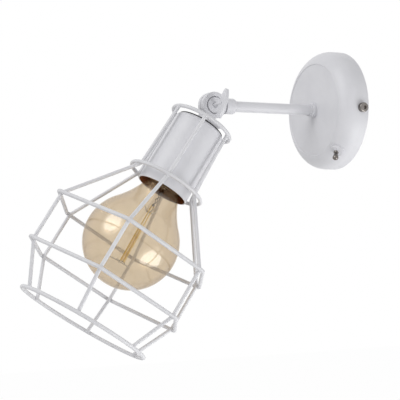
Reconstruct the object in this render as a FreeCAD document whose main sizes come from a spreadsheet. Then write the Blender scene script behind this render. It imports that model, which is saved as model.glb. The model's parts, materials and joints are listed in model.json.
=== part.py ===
import FreeCAD, Part
import math
import operator
import os
import Sketcher
from types import SimpleNamespace

# Cage wall light: a spun wall plate carries a short horizontal arm, and a half-lap knuckle with a
# wing screw tilts the head. The head is a deep socket cup inside a welded wire cage round a globe bulb.
#
# Three frames are used. In the part's frame the wall is the plane Y = 0, the arm points along -Y and
# +Z is up. In the wall frame, local Z runs out of the wall along the arm. In the head frame the origin
# is the hinge, X is the hinge's axis and local Z runs down the head, so heights there are distances
# from the hinge.

SIZES = {
    # wall plate
    "canopy_radius": 62.5,
    "canopy_depth": 28.0,
    "canopy_side": 10.0,
    "canopy_shoulder_width": 13.5,
    "canopy_lip": 1.0,
    "canopy_dish_drop": 0.8,
    "canopy_wall": 1.2,
    # wall bracket inside the plate
    "bracket_wall": 1.5,
    "bracket_width": 25.0,
    "bracket_ear_margin": 4.0,
    "slot_spacing": 60.0,
    "slot_width": 5.0,
    "slot_length": 12.0,
    "cable_hole_radius": 6.0,
    "earth_screw_edge": 4.5,
    "earth_screw_reach": 15.0,
    # screws of the plate and the terminals
    "small_screw_radius": 1.95,
    "side_screw_height": 8.0,
    "side_screw_turn": -1.7,
    "side_screw_head_radius": 4.9,
    "side_screw_head_height": 4.6,
    "side_screw_edge": 1.2,
    "side_screw_socket_radius": 2.2,
    "side_screw_socket_depth": 2.0,
    "side_screw_length": 7.0,
    "earth_head_radius": 3.2,
    "earth_head_height": 2.4,
    "terminal_gap": 2.0,
    "terminal_length": 15.0,
    "terminal_width": 22.0,
    "terminal_height": 9.0,
    "terminal_pitch": 7.0,
    "terminal_screw_radius": 1.6,
    "terminal_screw_depth": 3.0,
    # toggle switch on the plate's shoulder
    "switch_bearing": 40.0,
    "switch_slope": 40.0,
    "switch_boss_radius": 7.6,
    "switch_boss_lift": 0.1,
    "switch_boss_depth": 2.6,
    "switch_bushing_radius": 3.2,
    "switch_bushing_wall": 0.6,
    "switch_bushing_height": 3.8,
    "switch_nut_radius": 6.8,
    "switch_nut_height": 2.2,
    "switch_body_length": 13.0,
    "switch_body_width": 8.0,
    "switch_body_height": 9.5,
    "lever_ball_depth": 0.8,
    "lever_length": 11.8,
    "lever_root_radius": 1.5,
    "lever_tip_radius": 3.0,
    "lever_throw": 12.0,
    # arm
    "arm_reach": 146.5,
    "arm_radius": 5.5,
    "thread_radius": 4.95,
    "wire_way_radius": 3.5,
    "arm_thread_length": 12.0,
    "base_collar_radius": 7.75,
    "base_collar_height": 4.0,
    "base_step_radius": 6.5,
    "base_step_height": 2.2,
    "arm_nut_flats": 14.0,
    "arm_nut_height": 4.0,
    "arm_washer_radius": 9.0,
    "arm_washer_height": 1.0,
    # knuckle
    "head_tilt": 57.0,
    "knuckle_radius": 13.5,
    "knuckle_plate": 5.8,
    "edge_radius": 0.8,
    "washer_thickness": 0.7,
    "washer_setback": 1.5,
    "arm_stem_radius": 8.0,
    "arm_shoulder_slope": 3.7,
    "arm_shoulder_radius": 6.3,
    "arm_shoulder_bend": 4.6,
    "arm_socket_floor": 2.4,
    "arm_socket_depth": 9.0,
    "neck_radius": 7.5,
    "neck_floor": 0.6,
    "neck_thread_depth": 7.0,
    "pivot_radius": 2.95,
    "hub_radius": 7.9,
    "hub_height": 2.4,
    "hub_gap": 1.2,
    "hub_recess_depth": 2.0,
    "hub_dimple_radius": 2.9,
    "hub_dimple_depth": 0.7,
    "pivot_end": 1.8,
    "thumb_thickness": 3.0,
    "thumb_lean": 16.5,
    "thumb_centre": 23.6,
    "thumb_half_width": 7.0,
    "thumb_half_length": 15.4,
    "thumb_end_radius": 2.6,
    "thumb_neck_radius": 2.2,
    # cage
    "cage_turn": 26.8,
    "rib_wire_radius": 1.8,
    "ring_wire_radius": 1.9,
    "weld_sink": 0.5,
    "rib_bend": 6.0,
    "top_ring_radius": 32.2,
    "rib_top_inset": 0.1,
    "rib_top_twist": -6.5,
    "rib_neck_radius": 34.0,
    "rib_neck_twist": -3.4,
    "rib_neck_drop": 70.1,
    "rib_wide_radius": 85.6,
    "rib_shoulder_drop": 68.6,
    "rib_waist_drop": 50.2,
    "rib_mouth_radius": 63.0,
    "rib_mouth_drop": 42.1,
    "neck_ring_setback": 4.1,
    "mouth_ring_setback": 2.2,
    "hexagon_bend": 5.0,
    "strap_width": 16.0,
    "strap_thickness": 3.0,
    # socket cup and lampholder
    "gasket_setback": 2.2,
    "gasket_thickness": 1.0,
    "cup_gap": 0.9,
    "cup_wall": 1.2,
    "cup_length": 77.2,
    "cup_rounding": 3.0,
    "cup_nut_flats": 17.0,
    "cup_nut_height": 4.0,
    "nipple_reach": 3.7,
    "holder_gap": 3.4,
    "holder_hub_radius": 10.0,
    "holder_cap_setback": 1.0,
    "holder_cap_height": 16.0,
    "holder_cap_wall": 2.0,
    "holder_shell_wall": 4.0,
    "holder_shell_length": 44.0,
    "holder_flange_width": 3.6,
    "holder_flange_height": 3.0,
    "insert_wall": 3.0,
    "insert_depth": 6.0,
    "insert_setback": 2.0,
    "insert_floor": 10.0,
    "screw_shell_wall": 0.5,
    "screw_shell_setback": 2.1,
    "contact_radius": 3.5,
    "contact_height": 4.0,
    # bulb
    "globe_radius": 47.5,
    "globe_drop": 68.6,
    "globe_wall": 0.8,
    "blend_radius": 90.0,
    "blend_angle": 48.8,
    "bulb_neck_rise": 3.0,
    "bulb_tail_gap": 0.35,
    "bulb_tail_rise": 0.2,
    "bulb_tail_depth": 3.0,
    "bulb_cap_radius": 13.25,
    "bulb_cap_wall": 0.5,
    "bulb_cap_length": 21.5,
    "insulator_height": 1.9,
    "insulator_radius": 9.0,
    "tip_radius": 4.5,
    "tip_height": 0.5,
    "stem_length": 34.0,
    "stem_radius": 3.2,
    "filament_lift": 3.0,
    "filament_length": 60.0,
    "filament_top_radius": 8.0,
    "filament_bottom_radius": 12.0,
    "filament_wire_radius": 0.35,
    "support_wire_radius": 0.4,
    "filament_strands": 8,
    # clearances
    "thread_fit": 0.05,
    "slip_fit": 0.1,
    "loose_fit": 0.3,
}

LEFT = 1
RIGHT = -1
RIBS = 6

OPERATIONS = {"+": operator.add, "-": operator.sub, "*": operator.mul, "/": operator.truediv}


class Size:
    """A number that also knows the spreadsheet formula that it comes from."""

    def __init__(self, number, formula):
        self.number = number
        self.formula = formula

    def __add__(self, other):
        return combined(self, "+", other)

    def __sub__(self, other):
        return combined(self, "-", other)

    def __mul__(self, other):
        return combined(self, "*", other)

    def __truediv__(self, other):
        return combined(self, "/", other)

    def __radd__(self, other):
        return combined(other, "+", self)

    def __rsub__(self, other):
        return combined(other, "-", self)

    def __rmul__(self, other):
        return combined(other, "*", self)

    def __rtruediv__(self, other):
        return combined(other, "/", self)

    def __neg__(self):
        return combined(0, "-", self)


def sized(value):
    """A Size, also from a plain number."""
    return value if isinstance(value, Size) else Size(float(value), "%.10g" % value)


def combined(left, sign, right):
    """The sum, difference, product or quotient of two sizes."""
    left = sized(left)
    right = sized(right)
    number = OPERATIONS[sign](left.number, right.number)
    return Size(number, "(%s %s %s)" % (left.formula, sign, right.formula))


def root(size):
    """Square root."""
    return Size(math.sqrt(size.number), "sqrt(%s)" % size.formula)


def sine(angle):
    """Sine of an angle in degrees."""
    angle = sized(angle)
    return Size(math.sin(math.radians(angle.number)), "sin(%s)" % angle.formula)


def cosine(angle):
    """Cosine of an angle in degrees."""
    angle = sized(angle)
    return Size(math.cos(math.radians(angle.number)), "cos(%s)" % angle.formula)


def write_sheet(name):
    """An empty spreadsheet of the document."""
    return doc.addObject("Spreadsheet::Sheet", name)


def driving_sizes():
    """The driving dimensions, one cell and alias each."""
    sheet = write_sheet("Sizes")
    names = SimpleNamespace()
    for row, (alias, number) in enumerate(SIZES.items(), start=1):
        sheet.set("A%d" % row, alias)
        sheet.set("B%d" % row, str(number))
        sheet.setAlias("B%d" % row, alias)
        setattr(names, alias, Size(float(number), "Sizes." + alias))
    return names


def fitted_sizes():
    """Sizes that follow from the driving ones, kept as formulas in a sheet of their own.

    Each group may use what the groups before it gave.
    """
    groups = (plate_fits, knuckle_fits, thumb_fits, stack_fits, holder_fits, bulb_fits, rib_fits, cage_fits)
    sheet = write_sheet("Fits")
    row = 0
    for group in groups:
        for alias, size in group():
            row += 1
            sheet.set("A%d" % row, alias)
            sheet.set("B%d" % row, "=" + size.formula.replace("Fits.", ""))
            sheet.setAlias("B%d" % row, alias)
            setattr(F, alias, Size(size.number, "Fits." + alias))


def plate_fits():
    """What follows for the wall plate, its bracket, the switch and the arm."""
    rise = S.canopy_depth - S.canopy_side
    run = S.canopy_shoulder_width
    bend = (run * run + rise * rise) / (2 * run)
    bend_centre = S.canopy_radius - bend
    ceiling = S.canopy_depth - S.canopy_dish_drop - S.canopy_wall
    inner_bend = bend - S.canopy_wall
    inner_rise = ceiling - S.canopy_side
    room = S.canopy_radius - S.canopy_wall - 2 * S.loose_fit
    half_width = S.bracket_width / 2
    return (
        ("canopy_bend", bend),
        ("canopy_crest_radius", S.canopy_radius - run),
        ("canopy_front", S.canopy_depth - S.canopy_dish_drop),
        ("canopy_ceiling", ceiling),
        ("canopy_inner_end", bend_centre + root(inner_bend * inner_bend - inner_rise * inner_rise)),
        ("bracket_end", root(room * room - half_width * half_width)),
        ("bracket_ear_height", S.side_screw_height + S.bracket_ear_margin),
        ("lever_ball_height", S.switch_bushing_height - S.lever_ball_depth),
        ("lever_ball_radius", S.switch_bushing_radius - S.switch_bushing_wall - S.thread_fit),
        ("terminal_start", S.cable_hole_radius + S.terminal_gap),
        ("earth_screw_side", half_width - S.earth_screw_edge),
        ("switch_distance", bend_centre + bend * cosine(S.switch_slope)),
        ("switch_height", S.canopy_side + bend * sine(S.switch_slope)),
    )


def knuckle_fits():
    """What follows for the two halves of the knuckle and what screws into them."""
    gap = S.washer_thickness / 2 + S.thread_fit
    stem_start = S.knuckle_radius + S.loose_fit
    shoulder = stem_start + S.arm_socket_floor + S.arm_socket_depth
    return (
        ("lap_gap", gap),
        ("lap_face", gap + S.knuckle_plate),
        ("washer_radius", S.knuckle_radius - S.washer_setback),
        ("stem_start", stem_start),
        ("arm_shoulder_length", shoulder),
        ("arm_stem_length", shoulder - S.arm_shoulder_slope),
        ("neck_length", stem_start + S.neck_floor + S.neck_thread_depth),
        ("pivot_hole", S.pivot_radius + S.thread_fit),
        ("hub_recess_radius", S.hub_radius + S.hub_gap),
        ("thread_bore", S.thread_radius + S.thread_fit),
        ("thread_hole", S.thread_radius + S.loose_fit),
    )


def thumb_fits():
    """The thumb plate's outline: its long sides are arcs that run into its round ends."""
    rise = S.thumb_half_length - S.thumb_end_radius
    spread = S.thumb_half_width * S.thumb_half_width - S.thumb_end_radius * S.thumb_end_radius
    side = (spread + rise * rise) / (2 * (S.thumb_half_width - S.thumb_end_radius))
    reach = side - S.thumb_end_radius
    return (
        ("thumb_side_radius", side),
        ("thumb_join", S.thumb_end_radius * (side - S.thumb_half_width) / reach),
        ("thumb_join_rise", rise + S.thumb_end_radius * rise / reach),
    )


def stack_fits():
    """Heights of the stack under the neck, from the strap to the lampholder's seam."""
    strap_bottom = F.neck_length + S.strap_thickness
    cup_top = strap_bottom + S.gasket_thickness
    cup_floor = cup_top + S.cup_wall
    holder_top = cup_floor + S.cup_nut_height + S.holder_gap
    return (
        ("top_ring_height", F.neck_length + S.strap_thickness / 2),
        ("strap_bottom", strap_bottom),
        ("cup_top", cup_top),
        ("cup_floor", cup_floor),
        ("cup_mouth", cup_top + S.cup_length),
        ("nipple_top", F.neck_length - S.neck_thread_depth + S.loose_fit),
        ("nipple_end", holder_top + S.holder_cap_wall + S.nipple_reach),
        ("holder_top", holder_top),
        ("holder_seam", holder_top + S.holder_cap_height),
    )


def holder_fits():
    """The lampholder, built outwards from the bulb's cap, and the cup round it."""
    shell_outer = S.bulb_cap_radius + S.thread_fit + S.screw_shell_wall
    insert_radius = shell_outer + S.slip_fit + S.insert_wall
    bore = insert_radius + S.slip_fit
    shell_radius = bore + S.holder_shell_wall
    flange_radius = shell_radius + S.holder_flange_width
    cup_radius = flange_radius + S.cup_gap + S.cup_wall
    holder_end = F.holder_seam + S.holder_shell_length
    insert_end = holder_end - S.insert_setback
    return (
        ("shell_inner", S.bulb_cap_radius + S.thread_fit),
        ("shell_outer", shell_outer),
        ("insert_radius", insert_radius),
        ("holder_bore", bore),
        ("holder_shell_radius", shell_radius),
        ("holder_flange_radius", flange_radius),
        ("holder_cap_radius", shell_radius - S.holder_cap_setback),
        ("cup_radius", cup_radius),
        ("gasket_radius", cup_radius - S.gasket_setback),
        ("holder_end", holder_end),
        ("insert_top", F.holder_seam + S.insert_depth),
        ("insert_seat", F.holder_seam + S.insert_depth + S.insert_floor),
        ("insert_end", insert_end),
        ("screw_shell_end", insert_end - S.screw_shell_setback),
    )


def bulb_fits():
    """The bulb, from its tip on the centre contact to its globe."""
    tip_start = F.insert_seat + S.contact_height + S.slip_fit
    cap_start = tip_start + S.tip_height + S.insulator_height
    cap_end = cap_start + S.bulb_cap_length
    neck_height = cap_end + S.bulb_neck_rise
    globe_height = cap_end + S.globe_drop
    stem_end = cap_end + S.stem_length
    blend_reach = S.globe_radius + S.blend_radius
    blend_centre = blend_reach * sine(S.blend_angle)
    drop = neck_height - globe_height + blend_reach * cosine(S.blend_angle)
    inner_blend = S.blend_radius + S.globe_wall
    return (
        ("tip_start", tip_start),
        ("bulb_cap_start", cap_start),
        ("bulb_cap_end", cap_end),
        ("bulb_tail_radius", S.bulb_cap_radius - S.bulb_cap_wall - S.bulb_tail_gap),
        ("bulb_tail_end", cap_end - S.bulb_tail_depth),
        ("bulb_tail_height", cap_end + S.bulb_tail_rise),
        ("bulb_neck_height", neck_height),
        ("bulb_neck_radius", blend_centre - root(S.blend_radius * S.blend_radius - drop * drop)),
        ("bulb_neck_inner", blend_centre - root(inner_blend * inner_blend - drop * drop)),
        ("globe_height", globe_height),
        ("stem_end", stem_end),
        ("filament_top", stem_end - S.filament_lift),
        ("filament_bottom", stem_end - S.filament_lift + S.filament_length),
    )


def rib_fits():
    """Corners of a rib, each a drop below the one before it."""
    neck = F.top_ring_height + S.rib_neck_drop
    shoulder = neck + S.rib_shoulder_drop
    waist = shoulder + S.rib_waist_drop
    return (
        ("rib_top_radius", S.top_ring_radius - S.rib_top_inset),
        ("rib_top_height", F.top_ring_height + S.ring_wire_radius - S.weld_sink),
        ("rib_neck_height", neck),
        ("rib_shoulder_height", shoulder),
        ("rib_waist_height", waist),
        ("rib_mouth_height", waist + S.rib_mouth_drop),
    )


def cage_fits():
    """Where the lower four rings touch the ribs."""
    contact = S.rib_wire_radius + S.ring_wire_radius - S.weld_sink
    flare_run = S.rib_wide_radius - S.rib_neck_radius
    flare_rise = F.rib_shoulder_height - F.rib_neck_height
    flare = root(flare_run * flare_run + flare_rise * flare_rise)
    mouth_run = S.rib_wide_radius - S.rib_mouth_radius
    mouth_rise = F.rib_mouth_height - F.rib_waist_height
    taper = root(mouth_run * mouth_run + mouth_rise * mouth_rise)
    # a rounded hexagon corner lies inside the sharp one by bend * (1 / cos 30 - 1)
    sharp_radius = S.rib_wide_radius + contact + S.hexagon_bend * (1 / cosine(30) - 1)
    return (
        ("neck_ring_radius",
         S.rib_neck_radius + (S.neck_ring_setback * flare_run + contact * flare_rise) / flare),
        ("neck_ring_height",
         F.rib_neck_height + (S.neck_ring_setback * flare_rise - contact * flare_run) / flare),
        ("mouth_ring_radius",
         S.rib_mouth_radius + (S.mouth_ring_setback * mouth_run + contact * mouth_rise) / taper),
        ("mouth_ring_height",
         F.rib_mouth_height + (contact * mouth_run - S.mouth_ring_setback * mouth_rise) / taper),
        ("hexagon_radius", sharp_radius),
    )


def bind(thing, name, size):
    """Set a property and, where the size comes from the sheets, tie it to them."""
    size = sized(size)
    setattr(thing, name, int(size.number) if name in ("Polygon", "Occurrences") else size.number)
    if "." in size.formula and any(sheet in size.formula for sheet in ("Sizes.", "Fits.")):
        thing.setExpression(name, size.formula)


def move(x=0, y=0, z=0, axis=(1, 0, 0), angle=0):
    """One step of a placement: a turn about an axis through the origin, then a shift."""
    shift = "; ".join(sized(value).formula for value in (x, y, z))
    line = "; ".join("%g" % value for value in axis)
    return "placement(vector(%s); rotation(vector(%s); %s))" % (shift, line, sized(angle).formula)


def place(thing, steps):
    """Tie the placement to the sheets; the first step is the outermost."""
    if steps:
        thing.setExpression("Placement", " * ".join(steps))


def new_body(name, *steps):
    """A body of its own, placed in the part's frame."""
    body = doc.addObject("PartDesign::Body", name)
    body.Label = name
    place(body, steps)
    return body


def origin_item(body, role):
    """One of the body's own origin planes or axes."""
    return next(item for item in body.Origin.OriginFeatures if item.Role == role)


def new_sketch(body, role, lift=0):
    """A sketch on one of the body's origin planes, lifted along the plane's normal."""
    sketch = body.newObject("Sketcher::SketchObject", body.Name + "_sketch")
    sketch.AttachmentSupport = [(origin_item(body, role), "")]
    sketch.MapMode = "FlatFace"
    lift = sized(lift)
    if lift.number:
        sketch.AttachmentOffset = FreeCAD.Placement(FreeCAD.Vector(0, 0, lift.number), FreeCAD.Rotation())
        sketch.setExpression("AttachmentOffset.Base.z", lift.formula)
    return sketch


def flat(x, y):
    """A point of a sketch."""
    return FreeCAD.Vector(sized(x).number, sized(y).number, 0)


def constrain(sketch, kind, *targets_and_size):
    """A dimension of the sketch, tied to the sheets where its size comes from them."""
    *targets, size = targets_and_size
    size = sized(size)
    index = sketch.addConstraint(Sketcher.Constraint(kind, *targets, size.number))
    if "Sizes." in size.formula or "Fits." in size.formula:
        sketch.setExpression("Constraints[%d]" % index, size.formula)


def fix_point(sketch, edge, end, x, y):
    """Hold one end of an edge at a place measured from the sketch's origin."""
    constrain(sketch, "DistanceX", -1, 1, edge, end, x)
    constrain(sketch, "DistanceY", -1, 1, edge, end, y)


def arc_through(start, finish, radius, side):
    """The short arc between two points, its centre on the left or right of the way between them."""
    way = finish - start
    middle = (start + finish) * 0.5
    height = math.sqrt(max(radius ** 2 - (way.Length / 2) ** 2, 0))
    across = FreeCAD.Vector(-way.y, way.x, 0).normalize()
    centre = middle + across * (side * height)
    first, last = (start, finish) if side == LEFT else (finish, start)
    angles = [math.atan2(point.y - centre.y, point.x - centre.x) for point in (first, last)]
    return Part.ArcOfCircle(Part.Circle(centre, FreeCAD.Vector(0, 0, 1), radius), *angles)


def outline(sketch, corners):
    """Close a profile through its corners.

    A corner is (x, y), or (x, y, radius, side) where the edge that leaves it is an arc.
    """
    ends = []
    for index, corner in enumerate(corners):
        following = corners[(index + 1) % len(corners)]
        start = flat(*corner[:2])
        finish = flat(*following[:2])
        if len(corner) == 2:
            edge = sketch.addGeometry(Part.LineSegment(start, finish))
            ends.append((edge, 1, 2))
        else:
            radius, side = corner[2:]
            edge = sketch.addGeometry(arc_through(start, finish, sized(radius).number, side))
            ends.append((edge, 1, 2) if side == LEFT else (edge, 2, 1))
    for index, (edge, first, last) in enumerate(ends):
        corner = corners[index]
        next_edge, next_first = ends[(index + 1) % len(ends)][:2]
        sketch.addConstraint(Sketcher.Constraint("Coincident", edge, last, next_edge, next_first))
        fix_point(sketch, edge, first, *corner[:2])
        if len(corner) > 2:
            constrain(sketch, "Radius", edge, corner[2])


def circle(sketch, x, y, radius):
    """A circle in a sketch."""
    shape = Part.Circle(flat(x, y), FreeCAD.Vector(0, 0, 1), sized(radius).number)
    edge = sketch.addGeometry(shape)
    fix_point(sketch, edge, 3, x, y)
    constrain(sketch, "Radius", edge, radius)


def bent_path(sketch, corners, bend):
    """An open line through corners, each inner corner bent to a radius. Returns its edge names."""
    points = [flat(x, y) for x, y in corners]
    starts = [points[0]]
    finishes = []
    for before, corner, after in zip(points, points[1:], points[2:]):
        inward = (before - corner).normalize()
        onward = (after - corner).normalize()
        half_turn = (math.pi - inward.getAngle(onward)) / 2
        setback = bend.number * math.tan(half_turn)
        finishes.append(corner + inward * setback)
        starts.append(corner + onward * setback)
    finishes.append(points[-1])
    lines = []
    arcs = []
    for index, (start, finish) in enumerate(zip(starts, finishes)):
        lines.append(sketch.addGeometry(Part.LineSegment(start, finish)))
        if index + 2 < len(points):
            way = finish - start
            turn = way.x * (starts[index + 1] - finish).y - way.y * (starts[index + 1] - finish).x
            side = LEFT if turn > 0 else RIGHT
            arc = arc_through(finish, starts[index + 1], bend.number, side)
            arcs.append((sketch.addGeometry(arc), side))
    fix_point(sketch, lines[0], 1, *corners[0])
    fix_point(sketch, lines[-1], 2, *corners[-1])
    for index, (arc, side) in enumerate(arcs):
        first, last = (1, 2) if side == LEFT else (2, 1)
        sketch.addConstraint(Sketcher.Constraint("Tangent", lines[index], 2, arc, first))
        sketch.addConstraint(Sketcher.Constraint("Tangent", arc, last, lines[index + 1], 1))
        constrain(sketch, "Radius", arc, bend)
        corner = sketch.addGeometry(Part.Point(points[index + 1]), True)
        fix_point(sketch, corner, 1, *corners[index + 1])
        sketch.addConstraint(Sketcher.Constraint("PointOnObject", corner, 1, lines[index]))
        sketch.addConstraint(Sketcher.Constraint("PointOnObject", corner, 1, lines[index + 1]))
    return ["Edge%d" % (index + 1) for index in range(len(lines) + len(arcs))]


def turned(name, corners, *steps):
    """A body turned about its own Z axis from a profile of (radius, height) corners."""
    body = new_body(name, *steps)
    profile = new_sketch(body, "XZ_Plane")
    outline(profile, corners)
    turn = body.newObject("PartDesign::Revolution", name + "_turn")
    turn.Profile = profile
    turn.ReferenceAxis = (profile, ["V_Axis"])
    turn.Angle = 360
    return body


def tube(name, inner, outer, bottom, top, *steps):
    """A plain turned ring or tube."""
    corners = [(inner, bottom), (outer, bottom), (outer, top), (inner, top)]
    return turned(name, corners, *steps)


def padded(body, sketch, length, midplane=False):
    """Raise a sketch into material."""
    pad = body.newObject("PartDesign::Pad", body.Name + "_pad")
    pad.Profile = sketch
    pad.Midplane = midplane
    bind(pad, "Length", length)
    return pad


def cylinder(body, kind, radius, length, *steps):
    """Add or remove a cylinder; kind is Additive or Subtractive."""
    feature = body.newObject("PartDesign::%sCylinder" % kind, "%s_%s" % (body.Name, kind.lower()))
    bind(feature, "Radius", radius)
    bind(feature, "Height", length)
    place(feature, steps)
    return feature


def box(body, kind, length, width, height, *steps):
    """Add or remove a box from its lowest corner; kind is Additive or Subtractive."""
    feature = body.newObject("PartDesign::%sBox" % kind, "%s_%s" % (body.Name, kind.lower()))
    bind(feature, "Length", length)
    bind(feature, "Width", width)
    bind(feature, "Height", height)
    place(feature, steps)
    return feature


def repeated(body, feature, count):
    """Repeat a feature evenly about the body's Z axis."""
    pattern = body.newObject("PartDesign::PolarPattern", body.Name + "_pattern")
    pattern.Originals = [feature]
    pattern.Axis = (origin_item(body, "Z_Axis"), [""])
    pattern.Angle = 360
    bind(pattern, "Occurrences", count)
    body.Tip = pattern
    return pattern


def hex_nut(name, flats, height, bore, *steps):
    """A plain hexagon nut standing on its local origin."""
    body = new_body(name, *steps)
    corner = flats / root(sized(3))
    sketch = new_sketch(body, "XY_Plane")
    outline(sketch, [(corner * cosine(60 * k), corner * sine(60 * k)) for k in range(6)])
    padded(body, sketch, height)
    cylinder(body, "Subtractive", bore, height)
    return body


def canopy():
    """Spun wall plate: straight side, rounded shoulder, shallow dished front."""
    body = turned("canopy", [
        (S.canopy_radius, 0),
        (S.canopy_radius, S.canopy_side, F.canopy_bend, LEFT),
        (F.canopy_crest_radius, S.canopy_depth),
        (F.canopy_crest_radius - S.canopy_lip, F.canopy_front),
        (F.thread_hole, F.canopy_front),
        (F.thread_hole, F.canopy_ceiling),
        (F.canopy_inner_end, F.canopy_ceiling, F.canopy_bend - S.canopy_wall, RIGHT),
        (S.canopy_radius - S.canopy_wall, S.canopy_side),
        (S.canopy_radius - S.canopy_wall, 0),
    ], WALL)
    cylinder(body, "Additive", S.switch_boss_radius, S.switch_boss_lift + S.switch_boss_depth,
             *SWITCH[1:], move(z=-S.switch_boss_depth))
    cylinder(body, "Subtractive", S.switch_bushing_radius + S.slip_fit, 4 * S.switch_boss_depth,
             *SWITCH[1:], move(z=-2 * S.switch_boss_depth))
    screw_way = cylinder(body, "Subtractive", S.small_screw_radius + S.loose_fit, 2 * S.canopy_radius,
                         *side_screw_axis(S.canopy_radius))
    body.Tip = screw_way
    return body


def side_screw_axis(reach):
    """Where a cylinder along the side screws' common axis starts, that far to the left of the middle."""
    turn = move(axis=(0, 0, 1), angle=S.side_screw_turn)
    return turn, move(x=-reach, z=S.side_screw_height, axis=(0, 1, 0), angle=90)


def wall_bracket():
    """Steel strap screwed to the wall, with bent ends that take the plate's side screws."""
    body = new_body("wall_bracket", WALL)
    profile = new_sketch(body, "XZ_Plane")
    inside = F.bracket_end - S.bracket_wall
    outline(profile, [
        (-F.bracket_end, 0), (F.bracket_end, 0), (F.bracket_end, F.bracket_ear_height),
        (inside, F.bracket_ear_height), (inside, S.bracket_wall), (-inside, S.bracket_wall),
        (-inside, F.bracket_ear_height), (-F.bracket_end, F.bracket_ear_height),
    ])
    padded(body, profile, S.bracket_width, midplane=True)
    straight = S.slot_length - S.slot_width
    for middle in (-S.slot_spacing / 2, S.slot_spacing / 2):
        box(body, "Subtractive", straight, S.slot_width, S.bracket_wall,
            move(x=middle - straight / 2, y=-S.slot_width / 2))
        for end in (-straight / 2, straight / 2):
            cylinder(body, "Subtractive", S.slot_width / 2, S.bracket_wall, move(x=middle + end))
    cylinder(body, "Subtractive", S.cable_hole_radius, S.bracket_wall)
    cylinder(body, "Subtractive", S.small_screw_radius + S.thread_fit, S.bracket_wall,
             move(x=-S.earth_screw_reach, y=F.earth_screw_side))
    cylinder(body, "Subtractive", S.small_screw_radius + S.thread_fit, 2 * S.canopy_radius,
             *side_screw_axis(S.canopy_radius))
    return body


def side_screws():
    """Two socket screws that hold the plate to the bracket's ears."""
    body = new_body("side_screws", WALL, move(axis=(0, 0, 1), angle=S.side_screw_turn))
    body.AllowCompound = True
    tip = S.canopy_radius - S.side_screw_length
    seat = S.canopy_radius + S.slip_fit
    face = seat + S.side_screw_head_height
    middle = S.side_screw_height
    rim = middle - S.side_screw_head_radius
    edge = S.side_screw_edge
    sketch = new_sketch(body, "XZ_Plane")
    outline(sketch, [
        (tip, middle),
        (tip, middle - S.small_screw_radius),
        (seat, middle - S.small_screw_radius),
        (seat, rim),
        (face - edge, rim, edge, LEFT),
        (face, rim + edge),
        (face, middle - S.side_screw_socket_radius),
        (face - S.side_screw_socket_depth, middle - S.side_screw_socket_radius),
        (face - S.side_screw_socket_depth, middle),
    ])
    turn = body.newObject("PartDesign::Revolution", "side_screws_turn")
    turn.Profile = sketch
    turn.ReferenceAxis = (sketch, ["Edge9"])
    turn.Angle = 360
    doc.recompute()
    repeated(body, turn, 2)
    return body


def earth_screw():
    """Small earth screw in the bracket."""
    return turned("earth_screw", [
        (0, S.slip_fit),
        (S.small_screw_radius, S.slip_fit),
        (S.small_screw_radius, S.bracket_wall),
        (S.earth_head_radius, S.bracket_wall),
        (S.earth_head_radius, S.bracket_wall + S.earth_head_height),
        (0, S.bracket_wall + S.earth_head_height),
    ], WALL, move(x=-S.earth_screw_reach, y=F.earth_screw_side))


def terminal_block():
    """Three-way terminal block on the bracket."""
    body = new_body("terminal_block", WALL)
    corner = F.terminal_start
    box(body, "Additive", S.terminal_length, S.terminal_width, S.terminal_height,
        move(x=corner, y=-S.terminal_width / 2, z=S.bracket_wall))
    depth = S.terminal_screw_depth
    for way in (-1, 0, 1):
        cylinder(body, "Subtractive", S.terminal_screw_radius + S.slip_fit, depth,
                 move(x=corner + S.terminal_length / 2, y=S.terminal_pitch * way,
                      z=S.bracket_wall + S.terminal_height - depth))
        cylinder(body, "Subtractive", S.terminal_screw_radius, S.terminal_length,
                 move(x=corner, y=S.terminal_pitch * way, z=S.bracket_wall + S.terminal_height / 3,
                      axis=(0, 1, 0), angle=90))
    return body


def terminal_screws():
    """The terminal block's three screws."""
    body = new_body("terminal_screws", WALL)
    body.AllowCompound = True
    top = S.bracket_wall + S.terminal_height
    for way in (-1, 0, 1):
        cylinder(body, "Additive", S.terminal_screw_radius, S.terminal_screw_depth - 2 * S.slip_fit,
                 move(x=F.terminal_start + S.terminal_length / 2, y=S.terminal_pitch * way,
                      z=top - S.terminal_screw_depth + S.slip_fit))
    return body


def switch_body():
    """Closed body of the toggle switch, under the plate's shoulder."""
    body = new_body("switch_body", *SWITCH)
    top = -S.switch_boss_depth - 2 * S.slip_fit
    box(body, "Additive", S.switch_body_length, S.switch_body_width, S.switch_body_height,
        move(x=-S.switch_body_length / 2, y=-S.switch_body_width / 2, z=top - S.switch_body_height))
    return body


def switch_bushing():
    """Threaded bushing that passes through the plate and carries the lever."""
    foot = -S.switch_boss_depth - S.slip_fit
    bore = S.switch_bushing_radius - S.switch_bushing_wall
    return turned("switch_bushing", [
        (bore, foot),
        (S.switch_bushing_radius, foot),
        (S.switch_bushing_radius, S.switch_bushing_height),
        (bore, S.switch_bushing_height),
    ], *SWITCH)


def switch_nut():
    """Round nut that clamps the switch to the plate."""
    inner = S.switch_bushing_radius + S.thread_fit
    edge = S.edge_radius
    top = S.switch_boss_lift + S.switch_nut_height
    return turned("switch_nut", [
        (inner, S.switch_boss_lift),
        (S.switch_nut_radius, S.switch_boss_lift),
        (S.switch_nut_radius, top - edge, edge, LEFT),
        (S.switch_nut_radius - edge, top),
        (inner, top),
    ], *SWITCH)


def switch_lever():
    """Toggle lever: a ball in the bushing's mouth and a swelling, rounded end, thrown to one side."""
    tip = S.lever_tip_radius
    ball = F.lever_ball_radius
    waist = S.lever_root_radius
    return turned("switch_lever", [
        (0, -ball, ball, LEFT),
        (waist, root(ball * ball - waist * waist)),
        (tip, S.lever_length - tip, tip, LEFT),
        (0, S.lever_length),
    ], *SWITCH, move(z=F.lever_ball_height), move(axis=(0, 1, 0), angle=S.lever_throw))


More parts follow.
